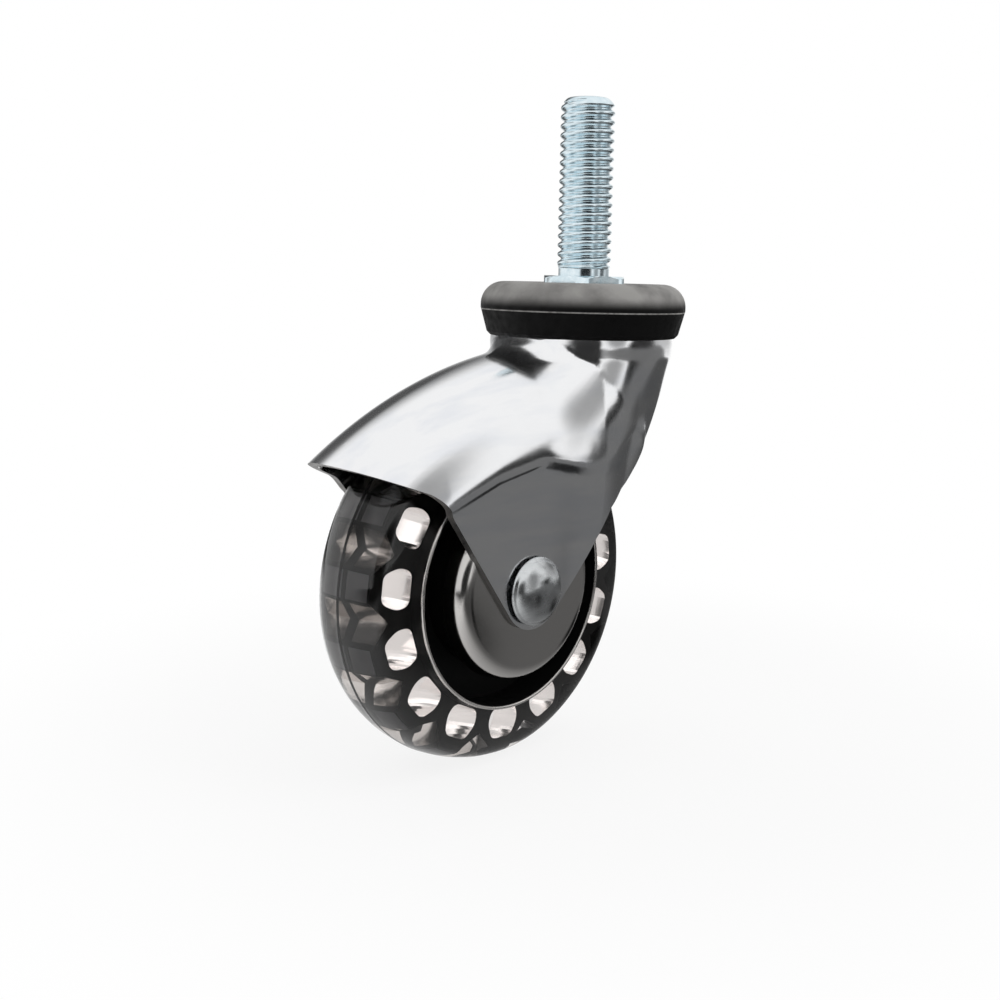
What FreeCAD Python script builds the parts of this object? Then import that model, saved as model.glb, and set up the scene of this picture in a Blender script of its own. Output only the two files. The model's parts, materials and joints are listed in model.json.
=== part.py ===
# Hooded stem castor: a 60 mm wheel with a translucent tread, trailing under a drawn steel hood that
# swivels on two rings of balls below a 3/8-16 threaded stem.
# The origin is on the swivel axis, on the upper face of the stem's hexagon. +Z runs up the stem, and
# the wheel trails towards -X. Left is -Y and right is +Y, as seen by someone facing the beak's way.
import FreeCAD, Part
import math
import os
import re
import Sketcher

# The driving dimensions, in millimetres and degrees.
SIZES = {
    # Stem: the stud, its hexagon and the kingpin below.
    "stud_radius": 4.7625,
    "stud_length": 31.75,
    "stud_chamfer": 0.9,
    "hexagon_flats": 14.0,
    "hexagon_corner_radius": 7.85,
    "hexagon_height": 4.6,
    "hexagon_chamfer": 0.45,
    "hexagon_turn": 13.8,
    "kingpin_radius": 4.0,
    "peened_radius": 5.4,
    "peened_height": 1.6,
    "peened_chamfer": 1.0,
    # Swivel bearing.
    "cap_thickness": 1.2,
    "cap_rim_radius": 16.0,
    "cap_rim_drop": 0.6,
    "upper_ball_radius": 1.984,
    "upper_track_radius": 11.4,
    "upper_ball_depth": 4.9,
    "upper_ball_count": 16,
    "lower_ball_radius": 1.5875,
    "lower_track_radius": 6.6,
    "lower_ball_depth": 8.75,
    "lower_ball_count": 12,
    "cup_radius": 9.2,
    "cup_floor": 1.15,
    "cup_track_half_width": 1.27,
    "cup_rim_width": 0.8,
    "cup_rim_rise": 0.9,
    "track_play": 0.06,
    # Bumper ring.
    "bumper_wall": 2.14,
    "bumper_waist_depth": 5.8,
    "bumper_waist_height": 0.7,
    "bumper_top_round": 4.0,
    "bumper_crest_depth": 1.2,
    "bumper_shoulder": 3.84,
    "bumper_opening_reach": 3.25,
    "bumper_foot_depth": 10.6,
    "bumper_taper": 1.14,
    "bumper_foot_round": 0.6,
    "bumper_gap": 0.45,
    "bumper_lip_reach": 1.0,
    "bumper_lip_height": 0.5,
    # Hooded fork.
    "sheet_thickness": 1.5,
    "web_depth": 6.1,
    "neck_radius": 15.5,
    "neck_round": 1.5,
    "neck_foot_depth": 11.9,
    "neck_cone_depth": 21.0,
    "kingpin_play": 0.3,
    "fork_half_width": 13.5,
    "spine_radius": 86.0,
    "spine_centre_back": 5.6,
    "spine_crest_depth": 11.5,
    "side_inner_radius": 30.0,
    "beak_reach": 57.4,
    "beak_depth": 28.8,
    "beak_edge_slope": 0.38,
    "brow_reach": 46.6,
    "brow_round": 10.3,
    "leg_front_angle": 36.0,
    "leg_front_length": 21.6,
    "leg_end_radius": 6.4,
    "leg_rear_angle": 39.7,
    "leg_rear_length": 20.6,
    "rear_cut_reach": 3.0,
    "rear_cut_depth": 37.2,
    "rear_cut_slope": 0.45,
    "column_gap": 0.4,
    "rear_wall_behind": 15.6,
    "rear_wall_foot_reach": 4.1,
    "rear_wall_foot_depth": 43.6,
    "rear_wall_round": 60.0,
    "rear_corner_top_radius": 9.6,
    "rear_corner_foot_radius": 5.8,
    "flank_depth": 27.0,
    # Axle.
    "axle_trail": 24.5,
    "axle_depth": 50.7,
    "axle_radius": 3.0,
    "rivet_flange_radius": 5.6,
    "rivet_flange_height": 0.7,
    "rivet_dome_radius": 5.15,
    "rivet_dome_height": 1.7,
    "cover_radius": 15.4,
    "cover_face_radius": 14.9,
    "cover_depth": 4.0,
    "cover_thickness": 0.8,
    "cover_round": 2.0,
    "spacer_radius": 5.6,
    # Wheel bearings.
    "bearing_bore_radius": 4.0,
    "bearing_radius": 11.0,
    "bearing_width": 7.0,
    "bearing_inset": 1.5,
    "bearing_ball_radius": 1.984,
    "bearing_track_radius": 7.5,
    "bearing_ball_count": 7,
    "inner_land_radius": 6.05,
    "outer_land_radius": 8.95,
    "shield_thickness": 0.3,
    "shield_inset": 0.15,
    "shield_gap": 0.3,
    # Wheel core and tread.
    "wheel_radius": 30.0,
    "hub_radius": 13.6,
    "hub_draft": 0.5,
    "hub_half_width": 9.0,
    "hub_rib_radius": 9.6,
    "core_web_half_width": 3.0,
    "rim_inner_radius": 19.74,
    "rim_lip_radius": 20.3,
    "rim_lip_half_width": 8.8,
    "core_side_half_width": 8.1,
    "core_shoulder_radius": 26.5,
    "core_shoulder_half_width": 6.7,
    "core_crown_radius": 27.6,
    "core_crown_half_width": 4.2,
    "tread_side_half_width": 8.5,
    "tread_flank_radius": 26.6,
    "tread_flank_half_width": 7.35,
    "tread_shoulder_radius": 28.6,
    "tread_shoulder_half_width": 6.1,
    "tread_shoulder_round": 2.6,
    "cell_count": 15,
    "cell_turn": 18.2,
    "window_low_radius": 20.9,
    "window_mid_radius": 23.3,
    "window_high_radius": 26.2,
    "window_low_half_width": 2.6,
    "window_mid_half_width": 3.5,
    "window_high_half_width": 2.1,
    "pocket_point_radius": 24.2,
    "pocket_eave_radius": 26.4,
    "pocket_half_width": 2.75,
    "pocket_from_middle": 1.3,
    "pocket_to_middle": 5.5,
}

# Sizes that follow from the driving ones.
FOLLOWING = {
    "web_under": "web_depth + sheet_thickness",
    "cap_crown_radius": "upper_ball_radius + cap_thickness",
    "cap_rim_top": "upper_ball_depth - cap_rim_drop",
    "cap_rim_under": "upper_ball_depth - cap_rim_drop + cap_thickness",
    "upper_groove_radius": "upper_ball_radius + track_play",
    "upper_bulge_radius": "upper_ball_radius + track_play + sheet_thickness",
    "lower_groove_radius": "lower_ball_radius + track_play",
    "cup_top": "lower_ball_depth + sqrt(lower_ball_radius ^ 2 - cup_track_half_width ^ 2)",
    "cup_under": "lower_ball_depth + lower_ball_radius + cup_floor",
    "bumper_radius": "cap_rim_radius + bumper_wall",
    "bumper_crest_radius": "cap_rim_radius + bumper_wall - bumper_shoulder",
    "bumper_opening_radius": "cap_rim_radius - bumper_opening_reach",
    "bumper_foot_radius": "cap_rim_radius + bumper_wall - bumper_taper",
    "bumper_lip_radius": "cap_rim_radius - bumper_lip_reach",
    "bumper_bore_radius": "neck_radius + bumper_gap",
    "column_top": "bumper_foot_depth + column_gap",
    "leg_inner": "fork_half_width - sheet_thickness",
    "leg_rear_top_reach":
        "axle_trail - leg_end_radius * cos(leg_rear_angle) - leg_rear_length * sin(leg_rear_angle)",
    "leg_rear_top_depth":
        "axle_depth + leg_end_radius * sin(leg_rear_angle) - leg_rear_length * cos(leg_rear_angle)",
    "spine_centre_depth": "spine_crest_depth + spine_radius",
    "spine_inner_radius": "spine_radius - sheet_thickness",
    "rear_wall_inner_round": "rear_wall_round - sheet_thickness",
    "cover_inner_face": "fork_half_width - sheet_thickness - cover_thickness",
    "rivet_dome_round": "(rivet_dome_radius ^ 2 + rivet_dome_height ^ 2) / (2 * rivet_dome_height)",
    "bearing_outer_face": "bearing_inset + bearing_width",
    "bearing_middle": "bearing_inset + bearing_width / 2",
    "inner_groove_radius": "bearing_ball_radius + track_play",
    "tread_crown_round":
        "(tread_shoulder_half_width ^ 2 + (wheel_radius - tread_shoulder_radius) ^ 2)"
        " / (2 * (wheel_radius - tread_shoulder_radius))",
}

doc = FreeCAD.newDocument("hooded_stem_castor")
sheet = doc.addObject("Spreadsheet::Sheet", "Sizes")
for row, (alias, size) in enumerate(SIZES.items(), start=1):
    sheet.set("A%d" % row, alias)
    sheet.set("B%d" % row, str(size))
    sheet.setAlias("B%d" % row, alias)
doc.recompute()
for row, (alias, text) in enumerate(FOLLOWING.items(), start=len(SIZES) + 2):
    sheet.set("A%d" % row, alias)
    sheet.set("B%d" % row, "=" + text)
    sheet.setAlias("B%d" % row, alias)
doc.recompute()


def in_cells(text):
    """Write a formula's names as cells of the sheet."""
    def cell(match):
        word = match.group(0)
        return "Sizes." + word if word in SIZES or word in FOLLOWING else word
    return re.sub(r"[a-z]\w*", cell, text)


def bind(thing, prop, text):
    thing.setExpression(prop, in_cells(text))


def new_body(label):
    body = doc.addObject("PartDesign::Body", label)
    body.Label = label
    return body


def plane_of(body, role):
    return [feature for feature in body.Origin.OriginFeatures if feature.Role == role][0]


def outline(body, name, role, corners):
    """Draw a closed outline whose corners are bound to the sheet.

    A corner is (across, up), or (across, up, radius, turn) when the edge that leaves it is an arc:
    radius is a cell, and turn is 1 for an arc that runs anticlockwise and -1 for clockwise.
    """
    sketch = body.newObject("Sketcher::SketchObject", name)
    sketch.AttachmentSupport = (plane_of(body, role), [""])
    sketch.MapMode = "FlatFace"
    for corner in corners:
        dot = sketch.addGeometry(Part.Point(FreeCAD.Vector(0, 0, 0)), True)
        for kind, text in (("DistanceX", corner[0]), ("DistanceY", corner[1])):
            index = sketch.addConstraint(Sketcher.Constraint(kind, -1, 1, dot, 1, 1.0))
            bind(sketch, "Constraints[%d]" % index, text)
    doc.recompute()
    count = len(corners)
    spots = [FreeCAD.Vector(sketch.Geometry[i].X, sketch.Geometry[i].Y, 0) for i in range(count)]
    for i, corner in enumerate(corners):
        following = (i + 1) % count
        start = spots[i]
        end = spots[following]
        if len(corner) == 2:
            edge = sketch.addGeometry(Part.LineSegment(start, end), False)
            ends = ((1, i), (2, following))
        else:
            radius = float(sheet.get(corner[2]))
            turn = corner[3]
            chord = end.sub(start)
            reach = math.sqrt(max(radius ** 2 - (chord.Length / 2) ** 2, 0.0))
            left = FreeCAD.Vector(-chord.y, chord.x, 0).normalize()
            centre = start.add(end).multiply(0.5).add(left.multiply(reach * turn))
            circle = Part.Circle(centre, FreeCAD.Vector(0, 0, 1), radius)
            first, last = (start, end) if turn > 0 else (end, start)
            arc = Part.ArcOfCircle(circle, circle.parameter(first), circle.parameter(last))
            edge = sketch.addGeometry(arc, False)
            index = sketch.addConstraint(Sketcher.Constraint("Radius", edge, radius))
            bind(sketch, "Constraints[%d]" % index, corner[2])
            ends = ((1, i), (2, following)) if turn > 0 else ((2, i), (1, following))
        for tip, dot in ends:
            sketch.addConstraint(Sketcher.Constraint("Coincident", edge, tip, dot, 1))
    doc.recompute()
    return sketch


def turned(label, corners):
    """Make a body by turning an outline of (radius, height) corners about its Z axis."""
    body = new_body(label)
    sketch = outline(body, label + "_profile", "XZ_Plane", corners)
    turn = body.newObject("PartDesign::Revolution", label + "_turned")
    turn.Profile = sketch
    turn.ReferenceAxis = (sketch, ["V_Axis"])
    turn.Angle = 360
    body.Tip = turn
    doc.recompute()
    return body


def padded(label, role, corners, length):
    """Make a body by padding an outline evenly to both sides of its plane."""
    body = new_body(label)
    sketch = outline(body, label + "_profile", role, corners)
    pad = body.newObject("PartDesign::Pad", label + "_pad")
    pad.Profile = sketch
    pad.Midplane = True
    bind(pad, "Length", length)
    body.Tip = pad
    doc.recompute()
    return body


def joined(kind, label, pieces):
    """Combine pieces: kind is MultiFuse, MultiCommon or Compound."""
    whole = doc.addObject("Part::" + kind, label)
    whole.Label = label
    if kind == "Compound":
        whole.Links = pieces
    else:
        whole.Shapes = pieces
    return whole


def cut(label, base, tool):
    rest = doc.addObject("Part::Cut", label)
    rest.Label = label
    rest.Base = base
    rest.Tool = tool
    return rest


def on_axle(piece, side):
    """Lay a piece's own Z axis along the wheel's axle, pointing right (1) or left (-1)."""
    piece.Placement.Rotation = FreeCAD.Rotation(FreeCAD.Vector(1, 0, 0), -90 * side)
    bind(piece, "Placement.Base.x", "-axle_trail")
    bind(piece, "Placement.Base.z", "-axle_depth")


def ball_ring(label, count, radius, track, height):
    """Stand equal balls round the Z axis, as one group."""
    balls = []
    for i in range(int(sheet.get(count))):
        ball = doc.addObject("Part::Sphere", "%s_%02d" % (label, i))
        bind(ball, "Radius", radius)
        bind(ball, "Placement.Base.x", "%s * cos(%d * 360 / %s)" % (track, i, count))
        bind(ball, "Placement.Base.y", "%s * sin(%d * 360 / %s)" % (track, i, count))
        bind(ball, "Placement.Base.z", height)
        balls.append(ball)
    return joined("Compound", label, balls)


def torus(label, track, radius, height):
    ring = doc.addObject("Part::Torus", label)
    bind(ring, "Radius1", track)
    bind(ring, "Radius2", radius)
    bind(ring, "Placement.Base.z", height)
    return ring


def make_threaded_stem():
    """Stud, hexagon, kingpin and peened end, turned from one bar. The thread and its run-out are plain."""
    body = turned("threaded_stem", [
        ("0", "-(cup_under + peened_height)"),
        ("peened_radius - peened_chamfer", "-(cup_under + peened_height)"),
        ("peened_radius", "-(cup_under + peened_height - peened_chamfer)"),
        ("peened_radius", "-cup_under"),
        ("kingpin_radius", "-cup_under"),
        ("kingpin_radius", "-hexagon_height / 2"),
        ("stud_radius", "-hexagon_height / 2"),
        ("stud_radius", "stud_length - stud_chamfer"),
        ("stud_radius - stud_chamfer", "stud_length"),
        ("0", "stud_length"),
    ])
    corners = []
    for i in range(6):
        reach = "hexagon_flats / sqrt(3) * %s(hexagon_turn + %d)"
        corners.append((reach % ("cos", 60 * i), reach % ("sin", 60 * i)))
    sketch = outline(body, "hexagon_profile", "XY_Plane", corners)
    pad = body.newObject("PartDesign::Pad", "hexagon")
    pad.Profile = sketch
    pad.Reversed = True
    bind(pad, "Length", "hexagon_height")
    body.Tip = pad
    doc.recompute()
    sketch = outline(body, "hexagon_turning", "XZ_Plane", [
        ("hexagon_flats / 2", "0"),
        ("hexagon_flats / 2", "hexagon_chamfer"),
        ("hexagon_flats", "hexagon_chamfer"),
        ("hexagon_flats", "-(hexagon_height + hexagon_chamfer)"),
        ("hexagon_corner_radius", "-(hexagon_height + hexagon_chamfer)"),
        ("hexagon_corner_radius", "-hexagon_chamfer"),
    ])
    groove = body.newObject("PartDesign::Groove", "hexagon_turned_corners")
    groove.Profile = sketch
    groove.ReferenceAxis = (sketch, ["V_Axis"])
    groove.Angle = 360
    body.Tip = groove
    doc.recompute()
    return body


def make_bearing_cap():
    """Pressed cap: a flat seat for the hexagon, a crown over the balls, and a rim for the bumper."""
    crown_at_seat = (
        "upper_track_radius - sqrt(cap_crown_radius ^ 2 - (upper_ball_depth - hexagon_height) ^ 2)")
    return turned("bearing_cap", [
        ("kingpin_radius", "-hexagon_height"),
        (crown_at_seat, "-hexagon_height", "cap_crown_radius", -1),
        ("upper_track_radius", "cap_crown_radius - upper_ball_depth", "cap_crown_radius", -1),
        ("upper_track_radius + sqrt(cap_crown_radius ^ 2 - cap_rim_drop ^ 2)", "-cap_rim_top"),
        ("cap_rim_radius", "-cap_rim_top"),
        ("cap_rim_radius", "-cap_rim_under"),
        ("upper_track_radius + upper_ball_radius", "-cap_rim_under"),
        ("upper_track_radius + upper_ball_radius", "-upper_ball_depth", "upper_ball_radius", 1),
        ("upper_track_radius", "upper_ball_radius - upper_ball_depth", "upper_ball_radius", 1),
        ("upper_track_radius - upper_ball_radius", "-upper_ball_depth"),
        ("upper_track_radius - upper_ball_radius", "-(hexagon_height + cap_thickness)"),
        ("kingpin_radius", "-(hexagon_height + cap_thickness)"),
    ])


def make_bumper_ring():
    """Soft ring with a rounded top, moulded to grip the cap's rim and to skirt the neck."""
    opening_top = (
        "sqrt(cap_crown_radius ^ 2 - (bumper_opening_radius - upper_track_radius) ^ 2)"
        " - upper_ball_depth")
    return turned("bumper_ring", [
        ("bumper_opening_radius", opening_top, "cap_crown_radius", -1),
        ("upper_track_radius + sqrt(cap_crown_radius ^ 2 - cap_rim_drop ^ 2)", "-cap_rim_top"),
        ("cap_rim_radius", "-cap_rim_top"),
        ("cap_rim_radius", "-cap_rim_under"),
        ("bumper_lip_radius", "-cap_rim_under"),
        ("bumper_lip_radius", "-(cap_rim_under + bumper_lip_height)"),
        ("bumper_bore_radius",
         "-(cap_rim_under + bumper_lip_height + bumper_bore_radius - bumper_lip_radius)"),
        ("bumper_bore_radius", "-bumper_foot_depth"),
        ("bumper_foot_radius - bumper_foot_round", "-bumper_foot_depth"),
        ("bumper_foot_radius", "bumper_foot_round - bumper_foot_depth"),
        ("bumper_radius", "-bumper_waist_depth"),
        ("bumper_radius", "bumper_waist_height - bumper_waist_depth", "bumper_top_round", 1),
        ("bumper_crest_radius", "-bumper_crest_depth"),
    ])


def make_lower_race_cup():
    """Turned cup on the kingpin, with the lower half of the lower ball track."""
    return turned("lower_race_cup", [
        ("kingpin_radius", "-cup_top"),
        ("lower_track_radius - cup_track_half_width", "-cup_top", "lower_ball_radius", 1),
        ("lower_track_radius", "-(lower_ball_depth + lower_ball_radius)", "lower_ball_radius", 1),
        ("lower_track_radius + cup_track_half_width", "-cup_top"),
        ("cup_radius - cup_rim_width", "-cup_top"),
        ("cup_radius - cup_rim_width", "cup_rim_rise - cup_top"),
        ("cup_radius", "cup_rim_rise - cup_top"),
        ("cup_radius", "-cup_under"),
        ("kingpin_radius", "-cup_under"),
    ])


def make_hood_arch(label, half_width, spine, foot):
    """The hood's arched section, turned about the centre of its spine and kept ahead of the neck."""
    body = new_body(label)
    sketch = outline(body, label + "_profile", "YZ_Plane", [
        ("-" + half_width, foot),
        (half_width, foot),
        (half_width, "spine_radius - fork_half_width", half_width, 1),
        ("0", spine, half_width, 1),
        ("-" + half_width, "spine_radius - fork_half_width"),
    ])
    turn = body.newObject("PartDesign::Revolution", label + "_turned")
    turn.Profile = sketch
    turn.ReferenceAxis = (sketch, ["H_Axis"])
    turn.Angle = 360
    body.Tip = turn
    bind(body, "Placement.Base.x", "-spine_centre_back")
    bind(body, "Placement.Base.z", "-spine_centre_depth")
    ahead = padded(label + "_ahead", "XZ_Plane", [
        ("-spine_radius", "0"),
        ("-spine_radius", "-spine_centre_depth"),
        ("-leg_rear_top_reach", "-spine_centre_depth"),
        ("-leg_rear_top_reach", "-leg_rear_top_depth"),
        ("0", "-flank_depth"),
        ("0", "0"),
    ], "4 * fork_half_width")
    return joined("MultiCommon", label + "_front", [body, ahead])


def make_rear_wall(label, top, offset, half_width, back_round):
    """A block whose rear face is the fork's curved rear wall, or its inside when offset inwards."""
    return padded(label + "_wall", "XZ_Plane", [
        ("-3 * fork_half_width", "-(%s)" % top),
        ("-3 * fork_half_width", "-rear_wall_foot_depth"),
        ("-(rear_wall_foot_reach + %s)" % offset, "-rear_wall_foot_depth", back_round, 1),
        ("rear_wall_behind - " + offset, "-(%s)" % top),
    ], "2 * " + half_width)


def rear_corners(shape, half_width, top, foot):
    """List the rear wall's two corner edges with the radius at each end, for a rounding."""
    corners = []
    for number, edge in enumerate(shape.Edges, start=1):
        first, last = edge.firstVertex(True).Point, edge.lastVertex(True).Point
        on_side = abs(abs(first.y) - half_width) < 1e-6 and abs(abs(last.y) - half_width) < 1e-6
        if on_side and edge.Curve.TypeId == "Part::GeomCircle":
            corners.append((number, top, foot) if first.z > last.z else (number, foot, top))
    return corners


def make_column(label, offset, half_width, back_round):
    """The column under the neck: a curved rear wall with rounded corners, and flat flanks.

    The corners are wide below the neck and tighter at the legs. Ahead of the swivel axis the top of
    the column is round, so that it stays inside the hood.
    """
    block = make_rear_wall(label, "column_top + " + offset, offset, half_width, back_round)
    inset = 0.0 if offset == "0" else float(sheet.get(offset))
    corners = doc.addObject("Part::Fillet", label + "_rear_corners")
    corners.Base = block
    corners.Edges = rear_corners(
        block.Shape, float(sheet.get(half_width)),
        float(sheet.get("rear_corner_top_radius")) - inset,
        float(sheet.get("rear_corner_foot_radius")) - inset)
    nose = padded(label + "_nose", "XY_Plane", [
        ("spine_radius", "-" + half_width),
        ("spine_radius", half_width),
        ("0", half_width, half_width, 1),
        ("-" + half_width, "0", half_width, 1),
        ("0", "-" + half_width),
    ], "2 * spine_radius")
    flanks = doc.addObject("Part::Box", label + "_flanks")
    bind(flanks, "Length", "fork_half_width")
    bind(flanks, "Width", "2 * " + half_width)
    bind(flanks, "Height", "rear_wall_foot_depth")
    bind(flanks, "Placement.Base.x", "-fork_half_width")
    bind(flanks, "Placement.Base.y", "-" + half_width)
    bind(flanks, "Placement.Base.z", "-(rear_wall_foot_depth + flank_depth)")
    doc.recompute()
    plan = joined("MultiFuse", label + "_plan", [nose, flanks])
    return joined("MultiCommon", label, [corners, plan])


def make_neck(label, offset, top, half_width, back_round, top_round):
    """The neck: a short cylinder that narrows to the width of the legs, flush with the rear wall."""
    radius = "(neck_radius - %s)" % offset
    corners = [
        ("0", "-" + top),
        (radius, "-" + top),
        (radius, "-neck_foot_depth"),
        (half_width, "-neck_cone_depth"),
        ("0", "-neck_cone_depth"),
    ]
    if top_round:
        corners[1:2] = [
            ("%s - %s" % (radius, top_round), "-" + top, top_round, -1),
            (radius, "-(%s + %s)" % (top, top_round)),
        ]
    form = turned(label + "_turned", corners)
    head = doc.addObject("Part::Box", label + "_head")
    bind(head, "Length", "4 * neck_radius")
    bind(head, "Width", "4 * neck_radius")
    bind(head, "Height", "neck_foot_depth")
    bind(head, "Placement.Base.x", "-2 * neck_radius")
    bind(head, "Placement.Base.y", "-2 * neck_radius")
    bind(head, "Placement.Base.z", "-neck_foot_depth")
    doc.recompute()
    wall = make_rear_wall(label + "_back", "neck_foot_depth", offset, "neck_radius", back_round)
    limits = joined("MultiFuse", label + "_limits", [head, wall])
    return joined("MultiCommon", label, [form, limits])


def make_side_view():
    """The fork seen from the side: beak edge, brow, leg with its round end, and the rear arch."""
    front_x = "-(axle_trail + leg_end_radius * cos(leg_front_angle)%s)"
    front_z = "-(axle_depth + leg_end_radius * sin(leg_front_angle)%s)"
    return padded("side_view", "XZ_Plane", [
        ("-spine_radius", "0"),
        ("-spine_radius", "-(beak_depth - (spine_radius - beak_reach) * beak_edge_slope)"),
        ("-brow_reach", "-(beak_depth + (beak_reach - brow_reach) * beak_edge_slope)", "brow_round", -1),
        (front_x % " + leg_front_length * sin(leg_front_angle)",
         front_z % " - leg_front_length * cos(leg_front_angle)"),
        (front_x % "", front_z % "", "leg_end_radius", 1),
        ("-axle_trail", "-(axle_depth + leg_end_radius)", "leg_end_radius", 1),
        ("leg_end_radius * cos(leg_rear_angle) - axle_trail",
         "-(axle_depth + leg_end_radius * sin(leg_rear_angle))"),
        ("-leg_rear_top_reach", "-leg_rear_top_depth"),
        ("-rear_cut_reach", "-rear_cut_depth"),
        ("spine_radius / 2", "-(rear_cut_depth - (spine_radius / 2 + rear_cut_reach) * rear_cut_slope)"),
        ("spine_radius / 2", "0"),
    ], "4 * fork_half_width")


def make_hooded_fork():
    """One drawn sheet: neck with a web on top, hood with a beak, and two flat legs.

    The web has a ball groove pressed down into it, a smaller one turned into its underside, and a
    hole for the kingpin. The legs have a hole each for the axle.
    """
    outside = joined("MultiFuse", "fork_outside", [
        make_hood_arch("hood_outer", "fork_half_width", "spine_radius", "side_inner_radius"),
        make_column("column_outer", "0", "fork_half_width", "rear_wall_round"),
    ])
    form = joined("MultiCommon", "fork_form", [outside, make_side_view()])
    neck = make_neck("neck_outer", "0", "web_depth", "fork_half_width", "rear_wall_round", "neck_round")
    solid = joined("MultiFuse", "fork_solid", [form, neck])
    inside = joined("MultiFuse", "fork_inside", [
        make_hood_arch("hood_inner", "leg_inner", "spine_inner_radius", "side_inner_radius - 1"),
        make_column("column_inner", "sheet_thickness", "leg_inner", "rear_wall_inner_round"),
        make_neck("neck_inner", "sheet_thickness", "web_under", "leg_inner", "rear_wall_inner_round", ""),
    ])
    shell = cut("fork_shell", solid, inside)
    bulge = torus("track_bulge", "upper_track_radius", "upper_bulge_radius", "-upper_ball_depth")
    under = doc.addObject("Part::Cylinder", "under_web")
    bind(under, "Radius", "neck_radius - sheet_thickness / 2")
    bind(under, "Height", "upper_bulge_radius")
    bind(under, "Placement.Base.z", "-(web_under + upper_bulge_radius - sheet_thickness / 2)")
    pressed = joined("MultiFuse", "fork_pressed", [
        shell, joined("MultiCommon", "track_underside", [bulge, under])])
    bore = doc.addObject("Part::Cylinder", "kingpin_hole")
    bind(bore, "Radius", "kingpin_radius + kingpin_play")
    bind(bore, "Height", "2 * web_under")
    bind(bore, "Placement.Base.z", "-2 * web_under")
    axle_holes = doc.addObject("Part::Cylinder", "axle_holes")
    bind(axle_holes, "Radius", "axle_radius")
    bind(axle_holes, "Height", "4 * fork_half_width")
    on_axle(axle_holes, 1)
    bind(axle_holes, "Placement.Base.y", "-2 * fork_half_width")
    tools = joined("MultiFuse", "fork_tools", [
        torus("upper_track", "upper_track_radius", "upper_groove_radius", "-upper_ball_depth"),
        torus("lower_track", "lower_track_radius", "lower_groove_radius", "-lower_ball_depth"),
        bore,
        axle_holes,
    ])
    return cut("hooded_fork", pressed, tools)


def make_axle_rivet():
    """Axle with a stepped, domed head outside each leg."""
    flange = "(fork_half_width + rivet_flange_height)"
    top = "(fork_half_width + rivet_flange_height + rivet_dome_height)"
    body = turned("axle_rivet", [
        ("0", "-" + top, "rivet_dome_round", 1),
        ("rivet_dome_radius", "-" + flange),
        ("rivet_flange_radius", "-" + flange),
        ("rivet_flange_radius", "-fork_half_width"),
        ("axle_radius", "-fork_half_width"),
        ("axle_radius", "fork_half_width"),
        ("rivet_flange_radius", "fork_half_width"),
        ("rivet_flange_radius", flange),
        ("rivet_dome_radius", flange, "rivet_dome_round", 1),
        ("0", top),
    ])
    on_axle(body, 1)
    return body


def tube(label, bore, radius, low, high, side):
    """A plain ring round the axle, from one distance from the middle to another."""
    body = turned(label, [(bore, low), (radius, low), (radius, high), (bore, high)])
    on_axle(body, side)
    return body


def make_cover_cup(label, side):
    """Pressed cup with a rounded rim, held between a leg and the axle's collars."""
    body = turned(label, [
        ("axle_radius", "leg_inner"),
        ("axle_radius", "cover_inner_face"),
        ("cover_face_radius - cover_round", "cover_inner_face"),
        ("cover_face_radius - cover_thickness", "leg_inner - cover_round"),
        ("cover_radius - cover_thickness", "leg_inner - cover_depth"),
        ("cover_radius", "leg_inner - cover_depth"),
        ("cover_face_radius", "leg_inner - cover_round", "cover_round", 1),
        ("cover_face_radius - cover_round", "leg_inner"),
    ])
    on_axle(body, side)
    return body


def make_inner_ring(label, side):
    """Bearing inner ring, with its ball groove."""
    groove = "sqrt(inner_groove_radius ^ 2 - (bearing_track_radius - inner_land_radius) ^ 2)"
    body = turned(label, [
        ("bearing_bore_radius", "bearing_inset"),
        ("inner_land_radius", "bearing_inset"),
        ("inner_land_radius", "bearing_middle - " + groove, "inner_groove_radius", -1),
        ("inner_land_radius", "bearing_middle + " + groove),
        ("inner_land_radius", "bearing_outer_face"),
        ("bearing_bore_radius", "bearing_outer_face"),
    ])
    on_axle(body, side)
    return body


def make_outer_ring(label, side):
    """Bearing outer ring, with its ball groove."""
    groove = "sqrt(bearing_ball_radius ^ 2 - (outer_land_radius - bearing_track_radius) ^ 2)"
    body = turned(label, [
        ("outer_land_radius", "bearing_inset"),
        ("bearing_radius", "bearing_inset"),
        ("bearing_radius", "bearing_outer_face"),
        ("outer_land_radius", "bearing_outer_face"),
        ("outer_land_radius", "bearing_middle + " + groove, "bearing_ball_radius", -1),
        ("outer_land_radius", "bearing_middle - " + groove),
    ])
    on_axle(body, side)
    return body


def make_shields(label, side):
    """The two thin shields pressed into a bearing's outer ring."""
    shields = []
    for name, low in (
            ("_in", "bearing_inset + shield_inset"),
            ("_out", "bearing_outer_face - shield_inset - shield_thickness")):
        shields.append(tube(label + name, "inner_land_radius + shield_gap", "outer_land_radius",
                            low, low + " + shield_thickness", side))
    return joined("Compound", label, shields)


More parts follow.
